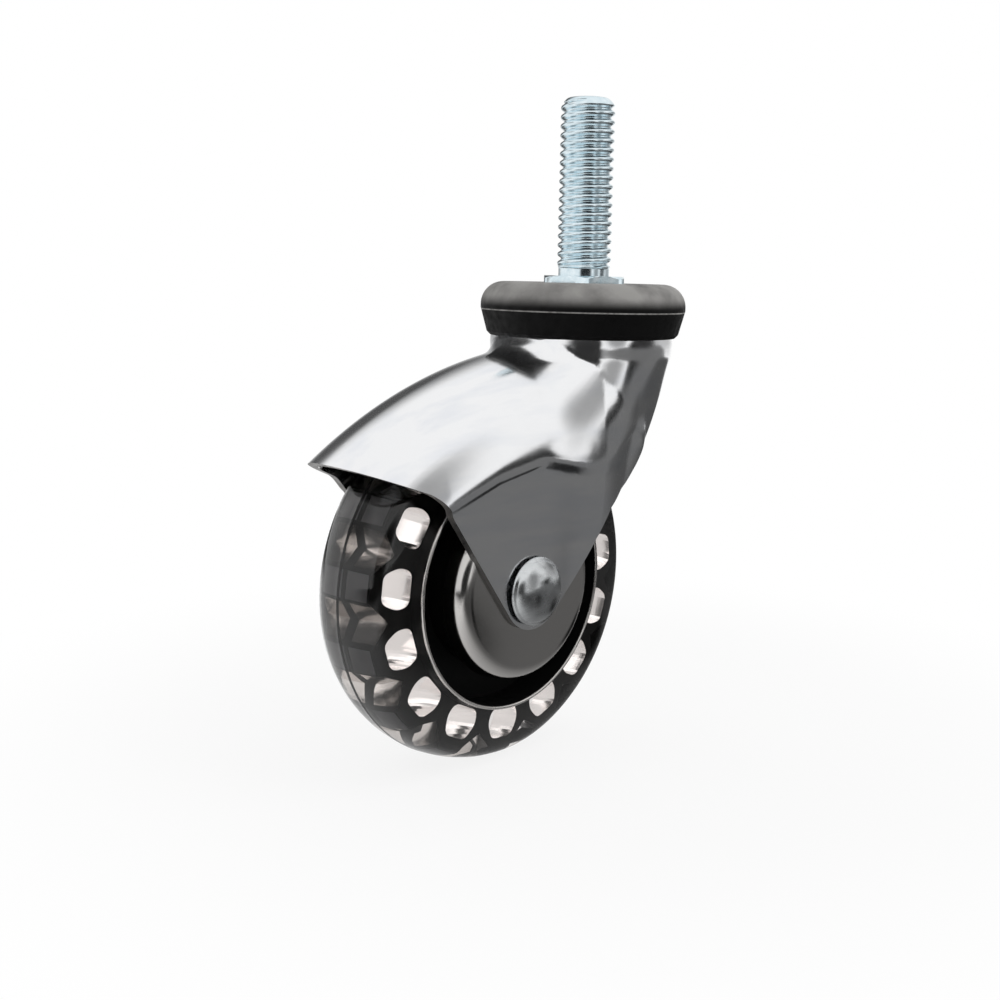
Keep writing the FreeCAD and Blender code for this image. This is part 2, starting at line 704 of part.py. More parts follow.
def cell_pattern(body, label, corners, low, high):
    """Cut one cell from the core between two heights, and repeat it round the rim."""
    before = body.Tip.Shape.Volume
    sketch = outline(body, label + "_profile", "XY_Plane", corners)
    sketch.AttachmentOffset = FreeCAD.Placement(
        FreeCAD.Vector(0, 0, 1), FreeCAD.Rotation(FreeCAD.Vector(0, 0, 1), 1))
    bind(sketch, "AttachmentOffset.Base.z", high)
    turn = "cell_turn" if label == "windows" else "cell_turn + 180 / cell_count"
    bind(sketch, "AttachmentOffset.Rotation.Angle", turn)
    pocket = body.newObject("PartDesign::Pocket", label)
    pocket.Profile = sketch
    bind(pocket, "Length", "%s - (%s)" % (high, low))
    doc.recompute()
    pattern = body.newObject("PartDesign::PolarPattern", label + "_round")
    pattern.Originals = [pocket]
    pattern.Axis = (plane_of(body, "Z_Axis"), [""])
    pattern.Angle = 360
    bind(pattern, "Occurrences", "cell_count")
    body.Tip = pattern
    doc.recompute()
    if body.Tip.Shape.Volume > before - 1:
        raise RuntimeError(label + " cuts nothing")


def make_wheel_core():
    """Moulded core: hub with two bearing seats, thin web, and a rim of windows and pockets."""
    body = turned("wheel_core", [
        ("hub_rib_radius", "-bearing_inset"),
        ("bearing_radius", "-bearing_inset"),
        ("bearing_radius", "-hub_half_width"),
        ("hub_radius", "-hub_half_width"),
        ("hub_radius + hub_draft", "-core_web_half_width"),
        ("rim_inner_radius", "-core_web_half_width"),
        ("rim_inner_radius", "-rim_lip_half_width"),
        ("rim_lip_radius", "-rim_lip_half_width"),
        ("rim_lip_radius", "-core_side_half_width"),
        ("core_shoulder_radius", "-core_shoulder_half_width"),
        ("core_crown_radius", "-core_crown_half_width"),
        ("core_crown_radius", "core_crown_half_width"),
        ("core_shoulder_radius", "core_shoulder_half_width"),
        ("rim_lip_radius", "core_side_half_width"),
        ("rim_lip_radius", "rim_lip_half_width"),
        ("rim_inner_radius", "rim_lip_half_width"),
        ("rim_inner_radius", "core_web_half_width"),
        ("hub_radius + hub_draft", "core_web_half_width"),
        ("hub_radius", "hub_half_width"),
        ("bearing_radius", "hub_half_width"),
        ("bearing_radius", "bearing_inset"),
        ("hub_rib_radius", "bearing_inset"),
    ])
    cell_pattern(body, "windows", [
        ("window_low_radius", "-window_low_half_width"),
        ("window_mid_radius", "-window_mid_half_width"),
        ("window_high_radius", "-window_high_half_width"),
        ("window_high_radius", "window_high_half_width"),
        ("window_mid_radius", "window_mid_half_width"),
        ("window_low_radius", "window_low_half_width"),
    ], "-rim_lip_half_width", "rim_lip_half_width")
    house = [
        ("pocket_point_radius", "0"),
        ("pocket_eave_radius", "-pocket_half_width"),
        ("wheel_radius", "-pocket_half_width"),
        ("wheel_radius", "pocket_half_width"),
        ("pocket_eave_radius", "pocket_half_width"),
    ]
    cell_pattern(body, "right_pockets", house, "pocket_from_middle", "pocket_to_middle")
    cell_pattern(body, "left_pockets", house, "-pocket_to_middle", "-pocket_from_middle")
    on_axle(body, 1)
    return body


def make_tread(core):
    """Tread moulded over the core: its outer form less the core, so that it fills every cell."""
    form = turned("tread_form", [
        ("rim_lip_radius", "-tread_side_half_width"),
        ("tread_flank_radius", "-tread_flank_half_width", "tread_shoulder_round", 1),
        ("tread_shoulder_radius", "-tread_shoulder_half_width", "tread_crown_round", 1),
        ("tread_shoulder_radius", "tread_shoulder_half_width", "tread_shoulder_round", 1),
        ("tread_flank_radius", "tread_flank_half_width"),
        ("rim_lip_radius", "tread_side_half_width"),
    ])
    on_axle(form, 1)
    return cut("tread", form, core)


pieces = [
    make_threaded_stem(),
    make_bearing_cap(),
    make_bumper_ring(),
    ball_ring("upper_balls", "upper_ball_count", "upper_ball_radius", "upper_track_radius",
              "-upper_ball_depth"),
    make_lower_race_cup(),
    ball_ring("lower_balls", "lower_ball_count", "lower_ball_radius", "lower_track_radius",
              "-lower_ball_depth"),
    make_hooded_fork(),
    make_axle_rivet(),
    tube("axle_sleeve", "axle_radius", "bearing_bore_radius", "-cover_inner_face", "cover_inner_face", 1),
]
for hand, side in (("left_", -1), ("right_", 1)):
    pieces.append(make_cover_cup(hand + "cover_cup", side))
    pieces.append(tube(hand + "spacer", "bearing_bore_radius", "spacer_radius",
                       "bearing_outer_face", "cover_inner_face", side))
    pieces.append(make_inner_ring(hand + "inner_ring", side))
    pieces.append(make_outer_ring(hand + "outer_ring", side))
    balls = ball_ring(hand + "bearing_balls", "bearing_ball_count", "bearing_ball_radius",
                      "bearing_track_radius", "bearing_middle")
    on_axle(balls, side)
    pieces.append(balls)
    pieces.append(make_shields(hand + "bearing_shields", side))
wheel_core = make_wheel_core()
pieces.append(wheel_core)
pieces.append(make_tread(wheel_core))
doc.recompute()

for thing in doc.Objects:
    if "Invalid" in thing.State or "Error" in thing.State:
        raise RuntimeError("%s: %s" % (thing.Label, thing.State))
for piece in pieces:
    if piece.Shape.isNull() or not piece.Shape.isValid():
        raise RuntimeError(piece.Label + " has no valid shape")
os.makedirs("parts", exist_ok=True)
for piece in pieces:
    piece.Shape.exportStep("parts/%s.step" % piece.Label)
    box = piece.Shape.BoundBox
    print("%-24s solids %2d  volume %9.2f  z %7.2f to %7.2f" % (
        piece.Label, len(piece.Shape.Solids), piece.Shape.Volume, box.ZMin, box.ZMax))
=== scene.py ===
# Dressed view of the hooded stem castor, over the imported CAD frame. All of it is in metres. Sizes that are
# easier to read in millimetres are written so, and mm turns them into metres.
import json
import math

import bmesh
import bpy
import numpy as np
from mathutils import Matrix, Vector


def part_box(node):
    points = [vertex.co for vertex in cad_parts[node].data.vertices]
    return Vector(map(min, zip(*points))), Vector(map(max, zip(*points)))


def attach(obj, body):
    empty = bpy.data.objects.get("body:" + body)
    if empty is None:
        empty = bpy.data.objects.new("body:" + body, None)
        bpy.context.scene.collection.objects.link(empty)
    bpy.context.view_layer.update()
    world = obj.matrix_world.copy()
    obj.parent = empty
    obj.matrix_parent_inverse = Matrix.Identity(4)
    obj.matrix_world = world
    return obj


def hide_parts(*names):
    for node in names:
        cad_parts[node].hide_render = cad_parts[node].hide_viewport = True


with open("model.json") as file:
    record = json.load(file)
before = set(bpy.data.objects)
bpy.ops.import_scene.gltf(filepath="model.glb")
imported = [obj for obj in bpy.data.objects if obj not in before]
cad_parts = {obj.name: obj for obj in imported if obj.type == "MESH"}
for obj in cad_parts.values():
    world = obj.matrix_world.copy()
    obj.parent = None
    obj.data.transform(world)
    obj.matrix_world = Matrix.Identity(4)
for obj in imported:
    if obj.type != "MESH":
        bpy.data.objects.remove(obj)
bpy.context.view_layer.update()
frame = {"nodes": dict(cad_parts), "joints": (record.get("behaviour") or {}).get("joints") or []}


# Camera: a 48 mm lens a little above the castor's middle, on the diagonal between its beak and its near
# side, with the picture shifted as the photograph was cropped.
def put(name, data):
    """Put a lens, a lamp, a mesh or a curve in the scene under a name."""
    thing = bpy.data.objects.new(name, data)
    bpy.context.collection.objects.link(thing)
    return thing


mm = 0.001
camera_place = Vector((-178.268, -158.339, -0.036)) * mm
camera_yaw = math.radians(-45.645)
camera_pitch = math.radians(5.883)
camera_roll = math.radians(1.332)
camera = put("camera", bpy.data.cameras.new("camera"))
camera.data.sensor_width = 36.0
camera.data.lens = 48.089
camera.data.shift_x = -0.01604
camera.data.shift_y = -0.08768
camera.data.clip_start = 0.01
camera.matrix_world = (
    Matrix.Translation(camera_place)
    @ Matrix.Rotation(camera_yaw, 4, "Z")
    @ Matrix.Rotation(math.radians(90) - camera_pitch, 4, "X")
    @ Matrix.Rotation(camera_roll, 4, "Z"))
bpy.context.scene.camera = camera
bpy.context.scene.view_settings.view_transform = "Standard"


# Stage: a white surround that the camera, the metal and the clear tread see, over a plain world light, and
# a white floor under the wheel that keeps a soft shadow.
def seen_directly(tree):
    """A value of 1 for camera, glossy and transmission rays, which see the white surround."""
    paths = tree.nodes.new("ShaderNodeLightPath")
    seen = paths.outputs["Is Camera Ray"]
    for name in ("Is Glossy Ray", "Is Transmission Ray"):
        larger = tree.nodes.new("ShaderNodeMath")
        larger.operation = "MAXIMUM"
        tree.links.new(seen, larger.inputs[0])
        tree.links.new(paths.outputs[name], larger.inputs[1])
        seen = larger.outputs[0]
    return seen


def faded(tree, oval, start, end=1.0, low=0.0, high=1.0):
    """A value that runs smoothly from low at start to high at end, which are distances from the middle of
    the floor or of a card, counted in the half-lengths of an oval."""
    spot = tree.nodes.new("ShaderNodeTexCoord")
    squeeze = tree.nodes.new("ShaderNodeMapping")
    squeeze.inputs["Scale"].default_value = (1 / oval[0], 1 / oval[1], 1)
    reach = tree.nodes.new("ShaderNodeVectorMath")
    reach.operation = "LENGTH"
    fade = tree.nodes.new("ShaderNodeMapRange")
    fade.interpolation_type = "SMOOTHSTEP"
    for socket, value in (("From Min", start), ("From Max", end), ("To Min", low), ("To Max", high)):
        fade.inputs[socket].default_value = value
    tree.links.new(spot.outputs["Object"], squeeze.inputs["Vector"])
    tree.links.new(squeeze.outputs["Vector"], reach.inputs[0])
    tree.links.new(reach.outputs["Value"], fade.inputs["Value"])
    return fade.outputs[0]


def show_either(tree, share, first, second, end):
    """Mix two shaders by a share, into the end node of a tree."""
    either = tree.nodes.new("ShaderNodeMixShader")
    tree.links.new(share, either.inputs["Fac"])
    tree.links.new(first.outputs[0], either.inputs[1])
    tree.links.new(second.outputs[0], either.inputs[2])
    tree.links.new(either.outputs[0], tree.nodes[end].inputs["Surface"])


world = bpy.data.worlds.new("studio")
bpy.context.scene.world = world
world.use_nodes = True
tree = world.node_tree
room = tree.nodes["Background"]
room.inputs["Color"].default_value = (1, 1, 1, 1)
room.inputs["Strength"].default_value = 0.55
surround = tree.nodes.new("ShaderNodeBackground")
surround.inputs["Color"].default_value = (1, 1, 1, 1)
surround.inputs["Strength"].default_value = 1.0
show_either(tree, seen_directly(tree), room, surround, "World Output")

floor_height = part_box("tread")[0][2]
floor_size = 12
shadow_start, shadow_end = 0.05, 0.13
glow_in_shadow = 0.86
bpy.ops.mesh.primitive_plane_add(size=floor_size, location=(0, 0, floor_height))
floor = bpy.context.object
floor.name = "floor"
floor_paint = bpy.data.materials.new("floor_white")
floor_paint.use_nodes = True
tree = floor_paint.node_tree
matte = tree.nodes["Principled BSDF"]
matte.inputs["Base Color"].default_value = (0.9, 0.9, 0.9, 1)
matte.inputs["Roughness"].default_value = 1.0
glow = tree.nodes.new("ShaderNodeEmission")
glow.inputs["Color"].default_value = (1, 1, 1, 1)
glow.inputs["Strength"].default_value = 1.0
glow_share = tree.nodes.new("ShaderNodeMath")
glow_share.operation = "MULTIPLY"
tree.links.new(seen_directly(tree), glow_share.inputs[0])
tree.links.new(faded(tree, (1, 1), shadow_start, shadow_end, glow_in_shadow), glow_share.inputs[1])
show_either(tree, glow_share.outputs[0], matte, glow, "Material Output")
floor.data.materials.append(floor_paint)

# Studio: three softboxes light the castor and don't show in it. Grey cards round it and grey mats on the
# floor, which only reflections see, give the chrome its dark edges and its horizon.
castor_middle = Vector((-20, 0, -35)) * mm


def from_object(azimuth, elevation, distance):
    """A place that faces the middle of the castor, from a direction in degrees."""
    turn = Matrix.Rotation(math.radians(azimuth), 4, "Z") @ Matrix.Rotation(math.radians(-elevation), 4, "Y")
    away = turn @ Vector((1, 0, 0))
    facing = turn @ Matrix.Rotation(math.radians(90), 4, "Y") @ Matrix.Rotation(math.radians(90), 4, "Z")
    return Matrix.Translation(castor_middle + away * distance) @ facing


def on_floor(azimuth, distance, lift):
    """A place flat on the floor, its length pointing away from the castor."""
    return (Matrix.Translation((castor_middle.x, 0, floor_height + lift))
            @ Matrix.Rotation(math.radians(azimuth), 4, "Z") @ Matrix.Translation((distance, 0, 0)))


def softbox(name, place, width, height, radiance):
    """A lamp that gives the same radiance at any size."""
    light = bpy.data.lights.new(name, "AREA")
    light.shape = "RECTANGLE"
    light.size = width
    light.size_y = height
    light.energy = radiance * math.pi * width * height
    lamp = put(name, light)
    lamp.matrix_world = place
    lamp.visible_glossy = False


def card(name, place, width, height, grey, firm):
    """A card in one grey that only reflections see. From a share, firm, of its half-size outwards it thins
    out, to nothing at its oval edge."""
    x, y = width / 2, height / 2
    board = bpy.data.meshes.new(name)
    board.from_pydata([(-x, -y, 0), (x, -y, 0), (x, y, 0), (-x, y, 0)], [], [(0, 1, 2, 3)])
    paper = bpy.data.materials.new(name)
    paper.use_nodes = True
    tree = paper.node_tree
    glow = tree.nodes.new("ShaderNodeEmission")
    glow.inputs["Color"].default_value = (grey, grey, grey, 1)
    clear = tree.nodes.new("ShaderNodeBsdfTransparent")
    show_either(tree, faded(tree, (x, y), firm), glow, clear, "Material Output")
    board.materials.append(paper)
    flag = put(name, board)
    flag.matrix_world = place
    flag.visible_camera = False
    flag.visible_diffuse = False
    flag.visible_shadow = False
    flag.visible_transmission = False


softbox("key_softbox", from_object(-57, 38, 0.45), 0.30, 0.42, 1.15)
softbox("side_softbox", from_object(108, 38, 0.60), 0.40, 0.36, 0.8)
softbox("top_softbox", from_object(-100, 85, 0.60), 0.50, 0.50, 0.8)
card("far_card", from_object(68, 24, 0.60), 0.90, 0.92, 0.09, 0.2)
card("back_card", from_object(-6, 14, 0.62), 0.92, 0.66, 0.27, 0.1)
card("smoke_card", from_object(-79, 16, 0.64), 0.46, 0.66, 0.36, 0.4)
card("horizon_strip", from_object(-46, 1.5, 0.58), 0.40, 0.12, 0.015, 0.5)
card("camera_card", from_object(-128, 6, 0.60), 0.74, 0.50, 0.03, 0.55)
card("left_card", from_object(140, 24, 0.60), 0.60, 0.40, 0.35, 0.2)
card("fringe_card", from_object(-36.5, 24, 0.55), 0.05, 0.52, 0.25, 0.2)
card("near_mat", on_floor(-42, 0.90, 0.0008), 1.90, 0.90, 0.16, 0.9)
card("contact_mat", on_floor(-69, 0.108, 0.0014), 0.12, 0.035, 0.01, 0.5)
card("foot_mat", on_floor(-24, 0.062, 0.0014), 0.055, 0.036, 0.01, 0.5)
card("cup_mat", on_floor(-95, 0.16, 0.0012), 0.26, 0.20, 0.08, 0.5)
card("back_mat", on_floor(9, 0.33, 0.0010), 0.50, 0.40, 0.08, 0.5)
card("front_mat", on_floor(-142, 0.45, 0.0010), 0.74, 1.00, 0.03, 0.6)
card("side_mat", on_floor(68, 0.36, 0.0012), 0.50, 0.42, 0.10, 0.5)

# Threaded stem: one bar of steel, turned to a hexagon, a kingpin and a peened end, and plated in bluish
# bright zinc. The rolled thread is right-handed, with rounded crests and a plain run-out above the hexagon.
pitch = 25.4 / 16
stud_radius = 4.7625
thread_depth, root_sharpness = 0.66, 1.5
run_out_radius = 4.5
run_out_height, run_out_length = 1.3, 0.9
stem_top = 30.9
tip_length, tip_bevel, tip_round = 1.3, 1.25, 0.7
hexagon_foot = -4.6
hexagon_flats = 14.0
hexagon_corner = 7.85
hexagon_turn = math.radians(13.8)
hexagon_bevel, bevel_slope = 0.75, math.radians(28)
kingpin_radius = 4.0
peened_radius = 5.4
peened_top, peened_edge, peened_end = -11.5, -12.1, -13.09


def part_way(value, start, end):
    """How far a value is on its way from start to end, from 0 to 1."""
    return np.clip((value - start) / (end - start), 0, 1)


def hexagon_radius(angles, height):
    facet = (angles - hexagon_turn - math.pi / 6) % (math.pi / 3) - math.pi / 6
    across = hexagon_flats / 2 / np.cos(facet)
    bevel = hexagon_corner - hexagon_bevel - height / math.tan(bevel_slope)
    return np.minimum(np.minimum(across, hexagon_corner), bevel)


def thread_radius(angles, height):
    turn = (height / pitch - angles / (2 * np.pi)) % 1.0
    crest = 0.5 + 0.5 * np.cos(2 * np.pi * turn)
    depth = thread_depth * (1 - crest) ** root_sharpness
    cut = part_way(height, run_out_height, run_out_height + run_out_length)
    plain = run_out_radius + (stud_radius - run_out_radius) * cut
    full = part_way(height, stem_top, stem_top - tip_length) ** tip_round
    tip = stud_radius - tip_bevel + tip_bevel * full
    return np.minimum(np.minimum(stud_radius - depth * cut, plain), tip)


def stem_radius(angles, height):
    if height <= peened_top:
        return np.full(len(angles), peened_radius - max(0.0, peened_edge - height))
    if height < hexagon_foot:
        return np.full(len(angles), kingpin_radius)
    if height <= 0:
        return hexagon_radius(angles, height)
    return thread_radius(angles, height)


def piece_of(name, points, faces):
    """A piece from points in millimetres and faces between them."""
    mesh = bpy.data.meshes.new(name)
    mesh.from_pydata((np.array(points) * mm).tolist(), [], faces)
    return put(name, mesh)


def smooth(piece, angle):
    """Shade a piece smoothly, and leave edges sharp past an angle in degrees."""
    piece.data.shade_smooth()
    piece.data.set_sharp_from_angle(angle=math.radians(angle))


def turned_bar(name, heights, radius_at, steps):
    """Turn a closed bar about Z: radius_at(angles, height) gives the radius round each ring."""
    angles = np.linspace(0, 2 * np.pi, steps, endpoint=False)
    points = []
    for height in heights:
        radius = radius_at(angles, height)
        points += [(r * math.cos(a), r * math.sin(a), height) for r, a in zip(radius, angles)]
    top = (len(heights) - 1) * steps
    faces = []
    for low in range(0, top, steps):
        for i in range(steps):
            j = (i + 1) % steps
            faces.append((low + i, low + j, low + steps + j, low + steps + i))
    faces.append(tuple(range(steps))[::-1])
    faces.append(tuple(range(top, top + steps)))
    return piece_of(name, points, faces)


def finish(name, **values):
    """A principled material whose plain values are set on the shader's own sockets."""
    material = bpy.data.materials.new(name)
    material.use_nodes = True
    shader = material.node_tree.nodes["Principled BSDF"]
    for socket, value in values.items():
        shader.inputs[socket.replace("_", " ")].default_value = value
    return material


def mottle(material, scale, detail=4.0, stretch=(1, 1, 1)):
    """A cloudy value over the piece's own coordinates; scale is in clouds a metre."""
    tree = material.node_tree
    spot = tree.nodes.new("ShaderNodeTexCoord")
    squeeze = tree.nodes.new("ShaderNodeMapping")
    squeeze.inputs["Scale"].default_value = stretch
    cloud = tree.nodes.new("ShaderNodeTexNoise")
    cloud.inputs["Scale"].default_value = scale
    cloud.inputs["Detail"].default_value = detail
    tree.links.new(spot.outputs["Object"], squeeze.inputs["Vector"])
    tree.links.new(squeeze.outputs["Vector"], cloud.inputs["Vector"])
    return cloud.outputs["Fac"]


def spread(material, source, socket, low, high, start=0.3, end=0.7):
    """Spread a source between two colours or values, into a socket of the shader."""
    tree = material.node_tree
    ramp = tree.nodes.new("ShaderNodeValToRGB")
    for stop, place, value in zip(ramp.color_ramp.elements, (start, end), (low, high)):
        stop.position = place
        stop.color = (*value, 1) if isinstance(value, tuple) else (value, value, value, 1)
    tree.links.new(source, ramp.inputs["Fac"])
    tree.links.new(ramp.outputs["Color"], tree.nodes["Principled BSDF"].inputs[socket])


def raise_grain(material, source, depth, strength):
    """Raise the surface by a source, up to a depth in metres."""
    tree = material.node_tree
    grain = tree.nodes.new("ShaderNodeBump")
    grain.inputs["Strength"].default_value = strength
    grain.inputs["Distance"].default_value = depth
    tree.links.new(source, grain.inputs["Height"])
    tree.links.new(grain.outputs["Normal"], tree.nodes["Principled BSDF"].inputs["Normal"])


stem_heights = np.concatenate([
    [peened_end, peened_edge, peened_top, peened_top + 0.01, hexagon_foot - 0.001, hexagon_foot],
    [-0.45, -0.3, -0.15, 0, 0.001],
    np.linspace(0.05, stem_top, 310)])
stem = turned_bar("threaded_stem_rolled", stem_heights, stem_radius, 72)
smooth(stem, 40)
zinc = finish("bright_zinc", Base_Color=(0.74, 0.85, 0.9, 1), Metallic=1.0, Roughness=0.2)
spread(zinc, mottle(zinc, 900), "Base Color", (0.62, 0.75, 0.81), (0.8, 0.89, 0.93))
spread(zinc, mottle(zinc, 400), "Roughness", 0.10, 0.2)
raise_grain(zinc, mottle(zinc, 2500), 0.000004, 0.4)
stem.data.materials.append(zinc)
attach(stem, "mount")
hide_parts("threaded_stem")


# Bearing cap: pressed steel, clamped under the hexagon and seen as a narrow ring above the rubber. The
# small turned pieces inside the head and the hub are plated in the same zinc.
def dress(node_names, material):
    """Give a finish to CAD nodes whose own shape stays."""
    for name in node_names:
        node = frame["nodes"][name]
        node.data.materials.clear()
        node.data.materials.append(material)


dress(["bearing_cap", "lower_race_cup", "axle_sleeve", "left_spacer", "right_spacer"], zinc)

# Balls, rings and shields: hardened steel, ground smooth where the balls run, and pressed into the head and
# the hub. They are mostly hidden there.
bearing_steel = finish("ground_bearing_steel", Base_Color=(0.5, 0.51, 0.53, 1), Metallic=1.0, Roughness=0.2)
spread(bearing_steel, mottle(bearing_steel, 600), "Roughness", 0.12, 0.28)
dress(["upper_balls", "lower_balls"], bearing_steel)
for side in ("left", "right"):
    dress([side + "_inner_ring", side + "_outer_ring", side + "_bearing_balls", side + "_bearing_shields"],
          bearing_steel)

# Bumper ring: one moulding of matte black rubber, gripped round the cap's rim. Its rounded top is painted a
# lighter grey in patches, partly for dust and partly as a painted sheen where the light falls on it, and a
# fine mould line runs round its waist.
dust_and_sheen_low, dust_and_sheen_high = -0.0056, -0.0032
mould_line_low, mould_line_high = -0.00625, -0.0059
mould_line_edge = 0.00015


def along(material, axis, start, end, low=0.0, high=1.0):
    """A value that runs smoothly from low to high between two places on an axis of the piece."""
    tree = material.node_tree
    spot = tree.nodes.new("ShaderNodeTexCoord")
    parts = tree.nodes.new("ShaderNodeSeparateXYZ")
    run = tree.nodes.new("ShaderNodeMapRange")
    run.interpolation_type = "SMOOTHSTEP"
    for socket, value in (("From Min", start), ("From Max", end), ("To Min", low), ("To Max", high)):
        run.inputs[socket].default_value = value
    tree.links.new(spot.outputs["Object"], parts.inputs[0])
    tree.links.new(parts.outputs[axis], run.inputs["Value"])
    return run.outputs[0]


def combine(material, operation, *sources):
    """A math node over sources, or over plain numbers that take a source with them."""
    tree = material.node_tree
    result = tree.nodes.new("ShaderNodeMath")
    result.operation = operation
    for socket, source in zip(result.inputs, sources):
        if isinstance(source, float):
            socket.default_value = source
        else:
            tree.links.new(source, socket)
    return result.outputs[0]


rubber = finish("bumper_rubber", Base_Color=(0.006, 0.006, 0.006, 1), Roughness=0.6, Specular_IOR_Level=0.12)
spread(rubber, mottle(rubber, 700, 8), "Roughness", 0.45, 0.75)
raise_grain(rubber, mottle(rubber, 3000), 0.00002, 0.6)
# Painted sheen: the rounded top is lightened in patches, for dust and for the light that falls on it.
dust_and_sheen = combine(rubber, "MULTIPLY", along(rubber, "Z", dust_and_sheen_low, dust_and_sheen_high), mottle(rubber, 160, 6))
mould_line = combine(
    rubber, "MULTIPLY",
    along(rubber, "Z", mould_line_low, mould_line_low + mould_line_edge),
    along(rubber, "Z", mould_line_high, mould_line_high - mould_line_edge))
dirty_line = combine(rubber, "MULTIPLY", mould_line, mottle(rubber, 900, 6))
dust_sheen_and_grime = combine(rubber, "MAXIMUM", dust_and_sheen, dirty_line)
spread(rubber, dust_sheen_and_grime, "Base Color", (0.004, 0.004, 0.004), (0.36, 0.352, 0.34), 0.0, 0.6)
dress(["bumper_ring"], rubber)

# Hooded fork: one deep-drawn steel sheet, polished and chromed, with a sheared lower edge. Its form is a
# field in millimetres: an arch turned about an axis under the wheel, a column with a rounded back, and a
# neck blended into both.
sheet = 1.5
half_width = 13.5
spine_radius = 86.0
spine_centre = np.array([-5.6, -11.5 - spine_radius])
web_top = -6.1
neck_radius = 15.5
neck_foot, cone_foot = -11.9, -31.6
neck_lean, lean_top = -10.0, -14.0
neck_ease = 1.2
wall_top = np.array([15.6, -11.0])
wall_foot = np.array([-4.1, -43.6])
wall_round = 60.0
wall_corner_top, wall_corner_foot = 9.6, 7.8
shoulder_out, shoulder_round = 0.1, 3.5
column_top, column_edge = -11.0, 0.8
rear_blend, front_blend = 1.8, 6.8
rear_blend_x, front_blend_x = -1.0, -10.0
crease = np.array([
    (-60, -46.0), (-43.4, -35.2), (-32.9, -31.4), (-22.8, -29.3), (-17.2, -30.3), (-12.5, -31.3),
    (-9.0, -31.0), (-6.0, -28.9), (-1.4, -25.6), (2.5, -28.0), (6.0, -36.0), (10, -50)])
crease_width, crease_step = 1.9, 0.6
crease_end_x, crease_full_x = 3.0, -2.0
crease_draft, crease_draft_height = 0.5, 3.0
deep_inside = -50.0


def arc_centre(start, end, radius, turn):
    """The centre of an arc between two points; turn is 1 or -1 for the side that it lies on."""
    chord = end - start
    reach = math.sqrt(radius ** 2 - (chord @ chord) / 4)
    left = np.array([-chord[1], chord[0]]) / np.linalg.norm(chord)
    return (start + end) / 2 + left * reach * turn


def round_corner(a, b, radius):
    """Where two half-spaces meet, round their corner."""
    return (np.minimum(np.maximum(a, b), -radius)
            + np.hypot(np.maximum(a + radius, 0), np.maximum(b + radius, 0)))


def easing(a, b, width):
    """What a fillet of a width adds or takes away where two fields meet."""
    return np.maximum(width - np.abs(a - b), 0) ** 2 / (4 * width)


wall_centre = arc_centre(wall_top, wall_foot, wall_round, -1)


def hood_field(p):
    """Signed distance, roughly, to the outside of the hood; negative inside."""
    x, y, z = p[..., 0], p[..., 1], p[..., 2]
    under = np.interp(x, crease[:, 0], crease[:, 1]) - z
    above = np.maximum(-under, 0) / crease_draft_height
    below = part_way(under, 0, crease_width)
    step = crease_step * part_way(x, crease_end_x, crease_full_x) * below * below * (3 - 2 * below)
    flank = np.abs(y) - half_width + crease_draft * (1 - np.exp(-above ** 2)) + step
    wall = np.hypot(x - wall_centre[0], np.maximum(z, wall_foot[1]) - wall_centre[1]) - wall_round
    corner = wall_corner_top + (wall_corner_foot - wall_corner_top) * part_way(z, wall_top[1], wall_foot[1])
    spine = np.hypot(x - spine_centre[0], z - spine_centre[1]) - spine_radius
    arch = round_corner(round_corner(flank, spine, half_width), wall, corner)
    nose = np.where(x < 0, np.hypot(x, y) - half_width, deep_inside)
    column = np.maximum(round_corner(flank, wall, corner), nose)
    taper = np.maximum((z - neck_foot) / (cone_foot - neck_foot), 0)
    lean = neck_lean * part_way(z, lean_top, cone_foot)
    cone = np.hypot(x - lean, y) - neck_radius - (half_width - neck_radius) * taper
    shoulder = round_corner(np.abs(y) - neck_radius - shoulder_out, wall, corner + shoulder_round)
    neck = np.maximum(cone, shoulder) + easing(cone, shoulder, neck_ease)
    body = round_corner(np.minimum(arch, column), z - column_top, column_edge)
    blend = rear_blend + (front_blend - rear_blend) * part_way(x, rear_blend_x, front_blend_x)
    return np.maximum(np.minimum(body, neck) - easing(body, neck, blend), z - web_top)


def surface_net(values, low, step):
    """Points and faces where values on a grid change sign: a point in each cell that the surface runs
    through, and a face across each grid edge that it crosses."""
    cells = tuple(n - 1 for n in values.shape)
    total = np.zeros(cells + (3,))
    count = np.zeros(cells)
    crossings = []
    for axis in range(3):
        others = [a for a in range(3) if a != axis]
        first = np.take(values, range(values.shape[axis] - 1), axis)
        second = np.take(values, range(1, values.shape[axis]), axis)
        crossing = (first < 0) != (second < 0)
        share = np.where(crossing, first / np.where(crossing, first - second, 1), 0)
        crossings.append((axis, others, crossing, first < 0))
        for a in (0, 1):
            for b in (0, 1):
                part = [slice(None)] * 3
                part[others[0]] = slice(a, a + cells[others[0]])
                part[others[1]] = slice(b, b + cells[others[1]])
                here = crossing[tuple(part)]
                total[..., axis] += share[tuple(part)]
                total[..., others[0]] += here * a
                total[..., others[1]] += here * b
                count += here
    used = count > 0
    number = np.full(cells, -1)
    number[used] = np.arange(used.sum())
    index = np.stack(np.nonzero(used), -1)
    points = np.array(low) + step * (index + total[used] / count[used][:, None])
    faces = []
    for axis, others, crossing, inward in crossings:
        spots = np.stack(np.nonzero(crossing), -1)
        a_spots, b_spots = spots[:, others[0]], spots[:, others[1]]
        within = (a_spots > 0) & (b_spots > 0) & (a_spots < cells[others[0]]) & (b_spots < cells[others[1]])
        spots = spots[within]
        corners = []
        for a, b in ((-1, -1), (0, -1), (0, 0), (-1, 0)):
            cell = spots.copy()
            cell[:, others[0]] += a
            cell[:, others[1]] += b
            corners.append(number[tuple(cell.T)])
        quads = np.stack(corners, -1)
        flip = inward[tuple(spots.T)] != (axis != 1)
        quads[flip] = quads[flip][:, ::-1]
        faces.append(quads)
    return points, np.concatenate(faces)


